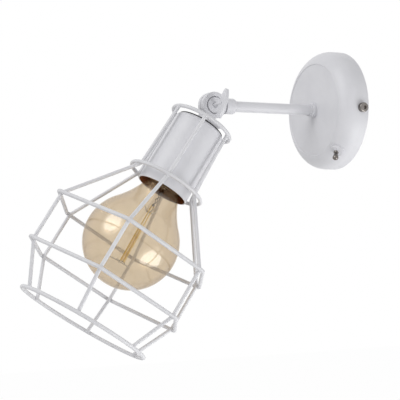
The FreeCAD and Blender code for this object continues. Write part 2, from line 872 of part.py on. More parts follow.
def arm_tube():
    """Arm: a tube with a threaded foot in the plate and its front end in the knuckle's socket."""
    front = S.arm_reach - F.arm_shoulder_length + S.arm_socket_depth - S.slip_fit
    foot = F.canopy_front - S.arm_thread_length
    return turned("arm_tube", [
        (S.wire_way_radius, foot),
        (S.thread_radius, foot),
        (S.thread_radius, F.canopy_front),
        (S.arm_radius, F.canopy_front),
        (S.arm_radius, front),
        (S.wire_way_radius, front),
    ], WALL)


def arm_base_collar():
    """Stepped collar that covers the arm's foot on the plate."""
    inner = S.arm_radius + S.slip_fit
    step = F.canopy_front + S.base_collar_height
    edge = S.edge_radius
    return turned("arm_base_collar", [
        (inner, F.canopy_front),
        (S.base_collar_radius, F.canopy_front),
        (S.base_collar_radius, step - edge, edge, LEFT),
        (S.base_collar_radius - edge, step),
        (S.base_step_radius, step),
        (S.base_step_radius, step + S.base_step_height),
        (inner, step + S.base_step_height),
    ], WALL)


def arm_lock_washer():
    """Washer under the lock nut, inside the plate."""
    return tube("arm_lock_washer", F.thread_hole, S.arm_washer_radius,
                F.canopy_ceiling - S.arm_washer_height, F.canopy_ceiling, WALL)


def arm_lock_nut():
    """Nut that holds the arm's foot to the plate."""
    bottom = F.canopy_ceiling - S.arm_washer_height - S.arm_nut_height
    return hex_nut("arm_lock_nut", S.arm_nut_flats, S.arm_nut_height, F.thread_bore, WALL, move(z=bottom))


def half_lap(body, side):
    """Cut the stem back to one half of the lap and add the round knuckle plate.

    The stem is modelled from the hinge outwards along Z. The plate takes the side of X that is given.
    """
    inner = F.lap_gap if side > 0 else -F.lap_face
    outer = F.lap_face if side > 0 else -F.lap_gap
    block = 2 * S.knuckle_radius
    for start in (inner - block, outer):
        box(body, "Subtractive", block, 2 * block, F.stem_start + block,
            move(x=start, y=-block, z=-block))
    plate = new_sketch(body, "XZ_Plane")
    edge = S.edge_radius
    near = side * F.lap_gap
    far = side * F.lap_face
    outline(plate, [
        (near, 0),
        (far, 0),
        (far, S.knuckle_radius - edge, edge, side),
        (far - side * edge, S.knuckle_radius),
        (near, S.knuckle_radius),
    ])
    turn = body.newObject("PartDesign::Revolution", body.Name + "_plate")
    turn.Profile = plate
    turn.ReferenceAxis = (plate, ["H_Axis"])
    turn.Angle = 360
    cylinder(body, "Subtractive", F.pivot_hole, S.knuckle_plate, move(x=inner, axis=(0, 1, 0), angle=90))


def arm_knuckle():
    """Fixed half of the knuckle, socketed on the arm."""
    socket_end = F.arm_shoulder_length - S.arm_socket_depth
    bore = S.arm_radius + S.thread_fit
    body = turned("arm_knuckle", [
        (0, 0),
        (S.arm_stem_radius, 0),
        (S.arm_stem_radius, F.arm_stem_length, S.arm_shoulder_bend, LEFT),
        (S.arm_shoulder_radius, F.arm_shoulder_length),
        (bore, F.arm_shoulder_length),
        (bore, socket_end),
        (0, socket_end),
    ], HINGE, move(angle=-90))
    half_lap(body, -1)
    cylinder(body, "Subtractive", S.wire_way_radius, socket_end - F.stem_start, move(z=F.stem_start))
    return body


def head_knuckle():
    """Moving half of the knuckle: recessed for the wing screw, with the neck that takes the nipple."""
    body = turned("head_knuckle", [
        (0, 0),
        (S.neck_radius, 0),
        (S.neck_radius, F.neck_length),
        (0, F.neck_length),
    ], *HEAD)
    half_lap(body, 1)
    cylinder(body, "Subtractive", F.thread_bore, S.neck_thread_depth,
             move(z=F.neck_length - S.neck_thread_depth))
    cylinder(body, "Subtractive", F.hub_recess_radius, S.hub_recess_depth,
             move(x=F.lap_face - S.hub_recess_depth, axis=(0, 1, 0), angle=90))
    return body


def friction_washer():
    """Thin washer between the two halves of the knuckle."""
    return tube("friction_washer", S.pivot_radius + S.slip_fit, F.washer_radius,
                -S.washer_thickness / 2, S.washer_thickness / 2, HINGE, move(axis=(0, 1, 0), angle=90))


def wing_screw():
    """Screw that clamps the knuckle: shank, round hub, short neck and a flat oval thumb plate."""
    seat = F.lap_face - S.hub_recess_depth + S.slip_fit
    top = seat + S.hub_height
    body = new_body("wing_screw", HINGE, move(angle=-S.thumb_lean))
    cylinder(body, "Additive", S.pivot_radius, seat + F.lap_face + S.pivot_end,
             move(x=-F.lap_face - S.pivot_end, axis=(0, 1, 0), angle=90))
    cylinder(body, "Additive", S.hub_radius, S.hub_height, move(x=seat, axis=(0, 1, 0), angle=90))
    cylinder(body, "Subtractive", S.hub_dimple_radius, S.hub_dimple_depth,
             move(x=top - S.hub_dimple_depth, axis=(0, 1, 0), angle=90))
    cylinder(body, "Additive", S.thumb_neck_radius, S.thumb_centre - seat,
             move(x=seat, axis=(0, 1, 0), angle=90))
    plate = new_sketch(body, "XZ_Plane")
    outline(plate, [
        (S.thumb_centre + F.thumb_join, -F.thumb_join_rise, F.thumb_side_radius, LEFT),
        (S.thumb_centre + F.thumb_join, F.thumb_join_rise, S.thumb_end_radius, LEFT),
        (S.thumb_centre - F.thumb_join, F.thumb_join_rise, F.thumb_side_radius, LEFT),
        (S.thumb_centre - F.thumb_join, -F.thumb_join_rise, S.thumb_end_radius, LEFT),
    ])
    padded(body, plate, S.thumb_thickness, midplane=True)
    return body


def around(radius, twist, height):
    """A point of the head, turned about its axis by a number of degrees."""
    angle = math.radians(twist)
    return FreeCAD.Vector(radius.number * math.cos(angle), radius.number * math.sin(angle), height.number)


def bent_wire(points, bend, radius):
    """A round wire through points in space, each inner one bent to a radius."""
    edges = []
    start = points[0]
    for corner, after in zip(points[1:], points[2:]):
        inward = (start - corner).normalize()
        onward = (after - corner).normalize()
        half_turn = (math.pi - inward.getAngle(onward)) / 2
        setback = bend * math.tan(half_turn)
        middle = corner + (inward + onward).normalize() * bend * (1 / math.cos(half_turn) - 1)
        finish = corner + inward * setback
        edges.append(Part.LineSegment(start, finish).toShape())
        start = corner + onward * setback
        edges.append(Part.Arc(finish, middle, start).toShape())
    edges.append(Part.LineSegment(start, points[-1]).toShape())
    section = Part.Wire(Part.Circle(points[0], points[1] - points[0], radius).toShape())
    return Part.Wire(edges).makePipeShell([section], True, False)


def cage_rib(number):
    """One bent wire of the cage. Above the shoulder it also leans round the head's axis."""
    corners = [
        around(F.rib_top_radius, S.rib_top_twist.number, F.rib_top_height),
        around(S.rib_neck_radius, S.rib_neck_twist.number, F.rib_neck_height),
        around(S.rib_wide_radius, 0, F.rib_shoulder_height),
        around(S.rib_wide_radius, 0, F.rib_waist_height),
        around(S.rib_mouth_radius, 0, F.rib_mouth_height),
    ]
    rib = doc.addObject("Part::Feature", "cage_rib_%d" % number)
    rib.Label = rib.Name
    rib.Shape = bent_wire(corners, S.rib_bend.number, S.rib_wire_radius.number)
    place(rib, (*HEAD, move(axis=(0, 0, 1), angle=S.cage_turn + 60 * (number - 1))))
    return rib


def swept(body, section, path, edges):
    """Carry a section along the edges of a path."""
    pipe = body.newObject("PartDesign::AdditivePipe", body.Name + "_wire")
    pipe.Profile = section
    pipe.Spine = (path, edges)
    return pipe


def hexagon_ring(name, height):
    """Closed hexagonal wire with rounded corners that lie against the ribs."""
    body = new_body(name, *HEAD, move(axis=(0, 0, 1), angle=S.cage_turn - 30))
    path = new_sketch(body, "XY_Plane", height)
    side_middle = (F.hexagon_radius * cosine(30), sized(0))
    turns = [60 * k + 30 for k in range(6)]
    corners = [(F.hexagon_radius * cosine(turn), F.hexagon_radius * sine(turn)) for turn in turns]
    edges = bent_path(path, [side_middle] + corners + [side_middle], S.hexagon_bend)
    section = new_sketch(body, "XZ_Plane")
    circle(section, F.hexagon_radius * cosine(30), height, S.ring_wire_radius)
    swept(body, section, path, edges)
    return body


def round_ring(name, radius, height):
    """Closed round wire of the cage."""
    ring = doc.addObject("Part::Torus", name)
    ring.Label = name
    bind(ring, "Radius1", radius)
    bind(ring, "Radius2", S.ring_wire_radius)
    place(ring, (*HEAD, move(z=height)))
    return ring


def cage_strap():
    """Flat bar across the top ring, with its ends curved to the ring."""
    body = new_body("cage_strap", *HEAD, move(axis=(0, 0, 1), angle=S.cage_turn - 30))
    half_width = S.strap_width / 2
    reach = S.top_ring_radius - S.ring_wire_radius + S.weld_sink
    end = root(reach * reach - half_width * half_width)
    sketch = new_sketch(body, "XY_Plane", F.neck_length)
    outline(sketch, [
        (-end, -half_width), (end, -half_width, reach, LEFT), (end, half_width),
        (-end, half_width, reach, LEFT),
    ])
    padded(body, sketch, S.strap_thickness)
    cylinder(body, "Subtractive", F.thread_hole, S.strap_thickness, move(z=F.neck_length))
    return body


def cup_gasket():
    """Rubber disc between the strap and the cup."""
    return tube("cup_gasket", F.thread_hole, F.gasket_radius, F.strap_bottom, F.cup_top, *HEAD)


def socket_cup():
    """Deep drawn cup round the lampholder, open downwards."""
    inner = F.cup_radius - S.cup_wall
    bend = S.cup_rounding
    inner_bend = bend - S.cup_wall
    return turned("socket_cup", [
        (F.thread_hole, F.cup_top),
        (F.cup_radius - bend, F.cup_top, bend, LEFT),
        (F.cup_radius, F.cup_top + bend),
        (F.cup_radius, F.cup_mouth),
        (inner, F.cup_mouth),
        (inner, F.cup_top + bend, inner_bend, RIGHT),
        (inner - inner_bend, F.cup_floor),
        (F.thread_hole, F.cup_floor),
    ], *HEAD)


def cup_lock_nut():
    """Nut under the cup's top."""
    return hex_nut("cup_lock_nut", S.cup_nut_flats, S.cup_nut_height, F.thread_bore,
                   *HEAD, move(z=F.cup_floor))


def head_nipple():
    """Threaded tube from the neck to the lampholder."""
    return tube("head_nipple", S.wire_way_radius, S.thread_radius,
                F.nipple_top, F.nipple_end, *HEAD)


def holder_cap():
    """Dome of the lampholder, on the nipple."""
    wall = S.holder_cap_wall
    slope_end = F.holder_top + F.holder_cap_radius - S.holder_hub_radius
    return turned("holder_cap", [
        (F.thread_bore, F.holder_top),
        (S.holder_hub_radius, F.holder_top, F.holder_cap_radius, LEFT),
        (F.holder_cap_radius, slope_end),
        (F.holder_cap_radius, F.holder_seam),
        (F.holder_cap_radius - wall, F.holder_seam),
        (F.holder_cap_radius - wall, slope_end, F.holder_cap_radius - wall, RIGHT),
        (S.holder_hub_radius, F.holder_top + wall),
        (F.thread_bore, F.holder_top + wall),
    ], *HEAD)


def holder_shell():
    """Body of the lampholder with its front flange."""
    end = F.holder_end
    flange = end - S.holder_flange_height
    return turned("holder_shell", [
        (F.holder_bore, F.holder_seam + S.slip_fit),
        (F.holder_shell_radius, F.holder_seam + S.slip_fit),
        (F.holder_shell_radius, flange),
        (F.holder_flange_radius, flange),
        (F.holder_flange_radius, end),
        (F.holder_bore, end),
    ], *HEAD)


def holder_insert():
    """Ceramic insert that carries the contacts."""
    bore = F.shell_outer + S.slip_fit
    end = F.insert_end
    return turned("holder_insert", [
        (0, F.insert_top),
        (F.insert_radius, F.insert_top),
        (F.insert_radius, end),
        (bore, end),
        (bore, F.insert_seat),
        (0, F.insert_seat),
    ], *HEAD)


def screw_shell():
    """Brass thread sleeve of the lampholder."""
    start = F.insert_seat + S.slip_fit
    return tube("screw_shell", F.shell_inner, F.shell_outer, start, F.screw_shell_end, *HEAD)


def centre_contact():
    """Sprung centre contact on the insert's floor."""
    foot = F.insert_seat + S.screw_shell_wall
    return turned("centre_contact", [
        (0, F.insert_seat),
        (S.contact_radius, F.insert_seat),
        (S.contact_radius, foot),
        (S.contact_radius / 2, foot),
        (S.contact_radius / 2, F.tip_start - S.slip_fit),
        (0, F.tip_start - S.slip_fit),
    ], *HEAD)


def bulb_cap():
    """Screw cap of the bulb."""
    inner = S.bulb_cap_radius - S.bulb_cap_wall
    floor = F.bulb_cap_start + S.bulb_cap_wall
    return turned("bulb_cap", [
        (0, F.bulb_cap_start),
        (S.insulator_radius, F.bulb_cap_start),
        (S.bulb_cap_radius, F.bulb_cap_start + 4 * S.bulb_cap_wall),
        (S.bulb_cap_radius, F.bulb_cap_end),
        (inner, F.bulb_cap_end),
        (inner, floor + 4 * S.bulb_cap_wall),
        (S.insulator_radius - S.bulb_cap_wall, floor),
        (0, floor),
    ], *HEAD)


def bulb_insulator():
    """Dark glass ring between the cap and the tip."""
    top = F.bulb_cap_start - S.insulator_height
    return turned("bulb_insulator", [
        (0, top),
        (S.tip_radius + S.bulb_cap_wall, top),
        (S.insulator_radius, F.bulb_cap_start),
        (0, F.bulb_cap_start),
    ], *HEAD)


def bulb_contact():
    """Tip contact of the bulb."""
    return turned("bulb_contact", [
        (0, F.tip_start),
        (S.tip_radius - S.tip_height, F.tip_start),
        (S.tip_radius, F.tip_start + S.tip_height),
        (0, F.tip_start + S.tip_height),
    ], *HEAD)


def bulb_glass():
    """Globe that runs into the neck through a long concave blend, with one even wall."""
    inner = S.globe_radius - S.globe_wall
    tail_inner = F.bulb_tail_radius - S.globe_wall
    across = sine(S.blend_angle)
    down = cosine(S.blend_angle)
    return turned("bulb_glass", [
        (F.bulb_tail_radius, F.bulb_tail_end),
        (F.bulb_tail_radius, F.bulb_tail_height),
        (F.bulb_neck_radius, F.bulb_neck_height, S.blend_radius, RIGHT),
        (S.globe_radius * across, F.globe_height - S.globe_radius * down, S.globe_radius, LEFT),
        (0, F.globe_height + S.globe_radius),
        (0, F.globe_height + inner, inner, RIGHT),
        (inner * across, F.globe_height - inner * down, S.blend_radius + S.globe_wall, LEFT),
        (F.bulb_neck_inner, F.bulb_neck_height),
        (tail_inner, F.bulb_tail_height + S.globe_wall / 2),
        (tail_inner, F.bulb_tail_end),
    ], *HEAD)


def bulb_stem():
    """Flared glass stem that carries the filament."""
    foot = F.bulb_tail_radius - S.globe_wall - S.slip_fit
    start = F.bulb_tail_end + S.globe_wall
    return turned("bulb_stem", [
        (0, start),
        (foot, start),
        (foot, start + S.globe_wall, foot, RIGHT),
        (S.stem_radius, start + S.globe_wall + foot),
        (S.stem_radius, F.stem_end),
        (0, F.stem_end),
    ], *HEAD)


def rods(name, runs, radius):
    """Round wires, each run a list of points, joined by balls at the corners."""
    shapes = []
    for run in runs:
        for start, finish in zip(run, run[1:]):
            shapes.append(Part.makeCylinder(radius, (finish - start).Length, start, finish - start))
        shapes += [Part.makeSphere(radius, point) for point in run[1:-1]]
    wires = doc.addObject("Part::Feature", name)
    wires.Label = name
    wires.Shape = shapes[0].multiFuse(shapes[1:]) if len(shapes) > 1 else shapes[0]
    place(wires, HEAD)
    return wires


def hook_point(index, gap=0):
    """Corner of the filament's zigzag: even ones near the stem, odd ones at the far end."""
    low = index % 2
    radius = (S.filament_bottom_radius if low else S.filament_top_radius).number - gap
    height = (F.filament_bottom if low else F.filament_top).number
    angle = math.radians(360 * index / (S.filament_strands.number + 1))
    return FreeCAD.Vector(radius * math.cos(angle), radius * math.sin(angle), height)


def filament():
    """One wire that runs up and down between the hooks."""
    strands = int(S.filament_strands.number)
    run = [hook_point(index) for index in range(strands + 1)]
    return rods("filament", [run], S.filament_wire_radius.number)


def filament_supports():
    """Centre rod and the hooks that hold the filament's corners."""
    strands = int(S.filament_strands.number)
    gap = S.filament_wire_radius.number + S.support_wire_radius.number
    stem_end = F.stem_end.number
    rod_end = F.filament_bottom.number
    foot = FreeCAD.Vector(0, 0, stem_end + S.slip_fit.number)
    runs = [[foot, FreeCAD.Vector(0, 0, rod_end)]]
    for index in range(strands + 1):
        tip = hook_point(index, gap)
        run = [FreeCAD.Vector(0, 0, rod_end), tip]
        if index % 2 == 0:
            level = stem_end + S.support_wire_radius.number
            outward = FreeCAD.Vector(tip.x, tip.y, 0).normalize()
            bend = outward * (S.stem_radius.number + 2 * S.support_wire_radius.number)
            run = [FreeCAD.Vector(0, 0, level), FreeCAD.Vector(bend.x, bend.y, level), tip]
        runs.append(run)
    return rods("filament_supports", runs, S.support_wire_radius.number)


def check(things):
    """Stop before anything is written if an object has failed or a shape is not sound."""
    failed = [item.Label for item in doc.Objects if {"Invalid", "Error"} & set(item.State)]
    broken = [thing.Label for thing in things if thing.Shape.isNull() or not thing.Shape.isValid()]
    if failed or broken:
        raise RuntimeError("failed: %s, not sound: %s" % (failed, broken))


def export(things):
    """Write each sub-part under its own name."""
    os.makedirs("parts", exist_ok=True)
    for thing in things:
        thing.Shape.exportStep("parts/%s.step" % thing.Label)
        print("%-20s %2d solid(s) %12.1f mm3" % (thing.Label, len(thing.Shape.Solids), thing.Shape.Volume))


doc = FreeCAD.newDocument("cage_wall_light")
S = driving_sizes()
F = SimpleNamespace()
fitted_sizes()
doc.recompute()

WALL = move(angle=90)
HINGE = move(y=-S.arm_reach)
HEAD = (HINGE, move(angle=S.head_tilt + 90))
SWITCH = (
    WALL,
    move(axis=(0, 0, 1), angle=S.switch_bearing - 90),
    move(x=F.switch_distance, z=F.switch_height, axis=(0, 1, 0), angle=90 - S.switch_slope),
)

parts = [
    canopy(), wall_bracket(), side_screws(), earth_screw(), terminal_block(), terminal_screws(),
    switch_body(), switch_bushing(), switch_nut(), switch_lever(),
    arm_base_collar(), arm_lock_washer(), arm_lock_nut(), arm_tube(), arm_knuckle(),
    friction_washer(), wing_screw(), head_knuckle(),
    round_ring("cage_top_ring", S.top_ring_radius, F.top_ring_height),
    round_ring("cage_neck_ring", F.neck_ring_radius, F.neck_ring_height),
    hexagon_ring("cage_shoulder_ring", F.rib_shoulder_height),
    hexagon_ring("cage_waist_ring", F.rib_waist_height),
    round_ring("cage_mouth_ring", F.mouth_ring_radius, F.mouth_ring_height),
    *[cage_rib(number) for number in range(1, RIBS + 1)],
    cage_strap(), cup_gasket(), socket_cup(), cup_lock_nut(), head_nipple(),
    holder_cap(), holder_shell(), holder_insert(), screw_shell(), centre_contact(),
    bulb_cap(), bulb_insulator(), bulb_contact(), bulb_glass(), bulb_stem(),
    filament(), filament_supports(),
]
doc.recompute()
check(parts)
export(parts)
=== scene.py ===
import bpy
import bmesh
import json
import math
import random
from mathutils import Matrix, Vector


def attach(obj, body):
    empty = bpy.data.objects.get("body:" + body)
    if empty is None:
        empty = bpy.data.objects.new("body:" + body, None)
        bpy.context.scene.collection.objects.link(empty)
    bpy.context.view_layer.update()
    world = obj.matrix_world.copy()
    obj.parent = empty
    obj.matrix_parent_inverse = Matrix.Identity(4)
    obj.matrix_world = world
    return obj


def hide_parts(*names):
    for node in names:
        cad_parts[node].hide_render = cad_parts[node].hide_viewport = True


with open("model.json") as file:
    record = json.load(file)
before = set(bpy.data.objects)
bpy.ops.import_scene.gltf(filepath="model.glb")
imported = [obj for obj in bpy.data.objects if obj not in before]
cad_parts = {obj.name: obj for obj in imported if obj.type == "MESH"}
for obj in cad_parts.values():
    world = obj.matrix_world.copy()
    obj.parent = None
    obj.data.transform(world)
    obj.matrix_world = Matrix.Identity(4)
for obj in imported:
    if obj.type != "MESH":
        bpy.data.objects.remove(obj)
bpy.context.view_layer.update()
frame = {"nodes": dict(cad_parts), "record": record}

# The cage wall light as photographed: white powder coat on a spun plate, arm, cup and welded cage,
# dark nickel screws, and an amber globe bulb with a long filament. Metres throughout.

# the photograph's camera, fitted to the object; angles in degrees, lens and sensor in millimetres
CAMERA_PLACE = Vector((0.92496, -0.59774, -0.10701))
CAMERA_AZIMUTH = 64.71
CAMERA_ELEVATION = -0.64
CAMERA_ROLL = -0.14
CAMERA_LENS = 91.62
CAMERA_NEAR = 0.01
SENSOR_WIDTH = 36.0

# the head's own axes, from the record's joints
JOINTS = {joint["name"]: joint for joint in frame["record"]["behaviour"]["joints"]}
HINGE = Vector(JOINTS["head_tilt"]["pos_m"])
HINGE_AXIS = Vector(JOINTS["head_tilt"]["axis"]).normalized()
HEAD_AXIS = Vector(JOINTS["bulb_turn"]["axis"]).normalized()
HEAD_SIDE = HEAD_AXIS.cross(HINGE_AXIS)


def head_point(height, radius=0.0, angle=0.0):
    """A point of the head: distance down its axis, distance from it, and turn from the hinge's axis."""
    turn = math.radians(angle)
    across = HINGE_AXIS * math.cos(turn) + HEAD_SIDE * math.sin(turn)
    return HINGE + HEAD_AXIS * height + across * radius


# ---------------------------------------------------------------- materials

# how fine each kind of unevenness is, in cells per metre
COAT_TONE_CELLS = 38.0
COAT_SHEEN_CELLS = 210.0
METAL_TONE_CELLS = 60.0
MOULD_TONE_CELLS = 45.0
MOULD_SHEEN_CELLS = 260.0
GLASS_TONE_CELLS = 22.0

# the coat's long waves: how much wider and deeper they are than its orange peel
WAVE_WIDTH = 9
WAVE_DEPTH = 5

# glass: how late it deepens towards its edge, how much its tone wanders, where the tone starts and ends
EDGE_POWER = 3.0
GLASS_WANDER = 0.12
GLASS_TONE_SPAN = (0.03, 0.75)


def new_material(name):
    """A material with its node tree and its Principled shader."""
    material = bpy.data.materials.new(name)
    material.use_nodes = True
    tree = material.node_tree
    return material, tree, tree.nodes["Principled BSDF"]


def noise(tree, scale, detail=4.0, roughness=0.55, stretch=(1, 1, 1)):
    """Noise in the object's own space, so its scale is in cells per metre."""
    coordinates = tree.nodes.new("ShaderNodeTexCoord")
    mapping = tree.nodes.new("ShaderNodeMapping")
    mapping.inputs["Scale"].default_value = stretch
    texture = tree.nodes.new("ShaderNodeTexNoise")
    texture.inputs["Scale"].default_value = scale
    texture.inputs["Detail"].default_value = detail
    texture.inputs["Roughness"].default_value = roughness
    tree.links.new(coordinates.outputs["Object"], mapping.inputs["Vector"])
    tree.links.new(mapping.outputs["Vector"], texture.inputs["Vector"])
    return texture.outputs["Fac"]


def ramp(tree, factor, low, high, start=0.3, end=0.7):
    """Colour that runs from low to high between two values of the factor."""
    node = tree.nodes.new("ShaderNodeValToRGB")
    for element, position, colour in zip(node.color_ramp.elements, (start, end), (low, high)):
        element.position = position
        element.color = (*colour, 1)
    tree.links.new(factor, node.inputs["Fac"])
    return node.outputs["Color"]


def spread(tree, factor, low, high):
    """A number that runs from low to high over the middle half of the factor."""
    node = tree.nodes.new("ShaderNodeMapRange")
    node.inputs["From Min"].default_value = 0.25
    node.inputs["From Max"].default_value = 0.75
    node.inputs["To Min"].default_value = low
    node.inputs["To Max"].default_value = high
    tree.links.new(factor, node.inputs["Value"])
    return node.outputs["Result"]


def bump(tree, shader, height, depth, strength, below=None):
    """Surface relief of a depth in metres, on top of the relief below."""
    node = tree.nodes.new("ShaderNodeBump")
    node.inputs["Strength"].default_value = strength
    node.inputs["Distance"].default_value = depth
    tree.links.new(height, node.inputs["Height"])
    if below is not None:
        tree.links.new(below, node.inputs["Normal"])
    tree.links.new(node.outputs["Normal"], shader.inputs["Normal"])
    return node.outputs["Normal"]


def calculated(tree, operation, first, second):
    """A number worked out from two others."""
    node = tree.nodes.new("ShaderNodeMath")
    node.operation = operation
    for socket, value in zip(node.inputs, (first, second)):
        if isinstance(value, (int, float)):
            socket.default_value = value
        else:
            tree.links.new(value, socket)
    return node.outputs["Value"]


def mixed(tree, share, first, second, output):
    """Two shaders into the material's or the world's output, by the share of the second."""
    mix = tree.nodes.new("ShaderNodeMixShader")
    tree.links.new(share, mix.inputs["Fac"])
    tree.links.new(first, mix.inputs[1])
    tree.links.new(second, mix.inputs[2])
    tree.links.new(mix.outputs["Shader"], tree.nodes[output].inputs["Surface"])


def coated(name, low, high, rough=(0.34, 0.46), peel=900.0, depth=0.00006):
    """Powder coat: slight tone drift, an even satin sheen, fine orange peel and long shallow waves."""
    material, tree, shader = new_material(name)
    drift = noise(tree, COAT_TONE_CELLS, 3.0)
    tree.links.new(ramp(tree, drift, low, high), shader.inputs["Base Color"])
    tree.links.new(spread(tree, noise(tree, COAT_SHEEN_CELLS), *rough), shader.inputs["Roughness"])
    fine = bump(tree, shader, noise(tree, peel, 2.0), depth, 0.5)
    bump(tree, shader, noise(tree, peel / WAVE_WIDTH, 2.0), depth * WAVE_DEPTH, 0.3, fine)
    return material


def metal(name, low, high, rough=(0.2, 0.4), stretch=(1, 1, 1), scale=400.0, depth=0.00001):
    """Plated metal with fine marks, drawn out along one way where stretched."""
    material, tree, shader = new_material(name)
    shader.inputs["Metallic"].default_value = 1.0
    tree.links.new(ramp(tree, noise(tree, METAL_TONE_CELLS), low, high), shader.inputs["Base Color"])
    marks = noise(tree, scale, 6.0, 0.6, stretch)
    tree.links.new(spread(tree, marks, *rough), shader.inputs["Roughness"])
    bump(tree, shader, marks, depth, 0.6)
    return material


def moulded(name, low, high, rough=(0.45, 0.6), grain=1500.0, depth=0.00003):
    """Moulded plastic, rubber or porcelain with a fine grain."""
    material, tree, shader = new_material(name)
    tree.links.new(ramp(tree, noise(tree, MOULD_TONE_CELLS), low, high), shader.inputs["Base Color"])
    tree.links.new(spread(tree, noise(tree, MOULD_SHEEN_CELLS), *rough), shader.inputs["Roughness"])
    bump(tree, shader, noise(tree, grain, 2.0), depth, 0.5)
    return material


def glass(name, middle, edge, shine, rim_shine=0.25, rough=0.02):
    """Thin tinted glass: see-through, deeper in colour and more mirror-like where it is seen edge on."""
    material, tree, shader = new_material(name)
    tree.nodes.remove(shader)
    angle = tree.nodes.new("ShaderNodeLayerWeight")
    angle.inputs["Blend"].default_value = 0.5
    aslant = calculated(tree, "POWER", angle.outputs["Facing"], EDGE_POWER)
    drift = calculated(tree, "MULTIPLY", noise(tree, GLASS_TONE_CELLS, 2.0), GLASS_WANDER)
    tone = ramp(tree, calculated(tree, "ADD", aslant, drift), middle, edge, *GLASS_TONE_SPAN)
    clear = tree.nodes.new("ShaderNodeBsdfTransparent")
    tree.links.new(tone, clear.inputs["Color"])
    gloss = tree.nodes.new("ShaderNodeBsdfGlossy")
    gloss.inputs["Roughness"].default_value = rough
    share = calculated(tree, "ADD", calculated(tree, "MULTIPLY", aslant, rim_shine), shine)
    mixed(tree, share, clear.outputs["BSDF"], gloss.outputs["BSDF"], "Material Output")
    return material


# Finishes: what makes each, then its two colours and how rough it is, and the rest where it isn't the usual.
# Glass has its colours seen straight on and edge on, its shine, its rim's shine and how rough it is.
MADE = {
    "white_coat": (coated, (0.655, 0.655, 0.685), (0.70, 0.70, 0.73)),
    "white_wire": (coated, (0.65, 0.65, 0.675), (0.71, 0.71, 0.73), (0.40, 0.48), 800.0, 0.000004),
    "dark_nickel": (metal, (0.12, 0.108, 0.10), (0.30, 0.28, 0.265), (0.10, 0.20)),
    "zinc_steel": (metal, (0.55, 0.56, 0.58), (0.68, 0.69, 0.70), (0.25, 0.42), (1, 1, 12), 300.0),
    "brass": (metal, (0.72, 0.52, 0.26), (0.84, 0.66, 0.36), (0.20, 0.38)),
    "lead_wire": (metal, (0.10, 0.085, 0.07), (0.20, 0.17, 0.14), (0.3, 0.45)),
    # painted shade and painted amber reflection: dark red-brown with a glossy rim, for the cup's inside and
    # the holder seen in its mouth
    "painted_shade_and_reflection": (moulded, (0.150, 0.048, 0.014), (0.26, 0.094, 0.032), (0.28, 0.42), 500.0, 0.00002),
    "black_plastic": (moulded, (0.018, 0.017, 0.016), (0.032, 0.030, 0.028)),
    "white_plastic": (moulded, (0.74, 0.73, 0.69), (0.80, 0.79, 0.75), (0.35, 0.5)),
    "rubber": (moulded, (0.02, 0.02, 0.02), (0.035, 0.034, 0.033), (0.7, 0.85), 900.0, 0.00006),
    "ceramic": (moulded, (0.72, 0.66, 0.54), (0.80, 0.74, 0.62), (0.18, 0.32), 700.0, 0.00002),
    "insulator_glass": (moulded, (0.012, 0.010, 0.014), (0.03, 0.024, 0.034), (0.1, 0.2)),
    "filament_wire": (moulded, (0.95, 0.66, 0.01), (1.0, 0.76, 0.03), (0.35, 0.5), 2500.0, 0.00001),
    "amber_glass": (glass, (0.905, 0.855, 0.775), (0.85, 0.785, 0.695), 0.08, 0.30, 0.13),
    "clear_glass": (glass, (0.95, 0.94, 0.93), (0.75, 0.70, 0.66), 0.05),
}
FINISHES = {name: make(name, *values) for name, (make, *values) in MADE.items()}

# nodes finished otherwise than their slot: the holder's cap and shell take the painted shade and painted
# amber reflection of the cup's inside, and the switch's bushing takes the white coat
REPAINTED = {"holder_cap": "painted_shade_and_reflection", "holder_shell": "painted_shade_and_reflection", "switch_bushing": "white_coat"}

# a face of the cup looks inwards, and gets the painted shade, where its direction's share along the way
# outwards is below this
INWARDS = -0.5


def paint_cup_inside_shade():
    """The cup's faces that look inwards get painted shade with a painted amber reflection, dark red-brown,
    in place of the white coat.
    """
    cup = frame["nodes"]["socket_cup"]
    cup.data.materials.append(FINISHES["painted_shade_and_reflection"])
    painted_shade_index = len(cup.data.materials) - 1
    for face in cup.data.polygons:
        place = cup.matrix_world @ face.center - HINGE
        outward = place - HEAD_AXIS * place.dot(HEAD_AXIS)
        direction = cup.matrix_world.to_3x3() @ face.normal
        if direction.dot(outward.normalized()) < INWARDS:
            face.material_index = painted_shade_index


for part in frame["record"]["subparts"]:
    for slot in frame["nodes"][part["node"]].material_slots:
        slot.material = FINISHES[part["material_slot"]]
paint_cup_inside_shade()
for name, finish in REPAINTED.items():
    frame["nodes"][name].material_slots[0].material = FINISHES[finish]

# ---------------------------------------------------------------- pieces of the visual model


def sweep(mesh, path, radius, sides=6):
    """Round wire along points, closed at both ends."""
    rings = []
    across = (path[1] - path[0]).orthogonal().normalized()
    for index, point in enumerate(path):
        before = path[max(index - 1, 0)]
        after = path[min(index + 1, len(path) - 1)]
        way = (after - before).normalized()
        across = (across - way * across.dot(way)).normalized()
        other = way.cross(across)
        ring = []
        for side in range(sides):
            turn = 2 * math.pi * side / sides
            ring.append(mesh.verts.new(point + (across * math.cos(turn) + other * math.sin(turn)) * radius))
        rings.append(ring)
    for first, second in zip(rings, rings[1:]):
        for side in range(sides):
            beside = (side + 1) % sides
            mesh.faces.new((first[side], first[beside], second[beside], second[side]))
    mesh.faces.new(list(reversed(rings[0])))
    mesh.faces.new(rings[-1])


def piece(name, mesh, material, body, replaced=()):
    """Turn a built mesh into a smooth piece that rides on a body."""
    bmesh.ops.recalc_face_normals(mesh, faces=mesh.faces)
    data = bpy.data.meshes.new(name)
    mesh.to_mesh(data)
    mesh.free()
    for face in data.polygons:
        face.use_smooth = True
    data.materials.append(material)
    thing = bpy.data.objects.new(name, data)
    bpy.context.collection.objects.link(thing)
    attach(thing, body)
    if replaced:
        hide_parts(*replaced)


def between(start, finish, count):
    """Evenly spaced points from start to finish."""
    return [start.lerp(finish, step / (count - 1)) for step in range(count)]


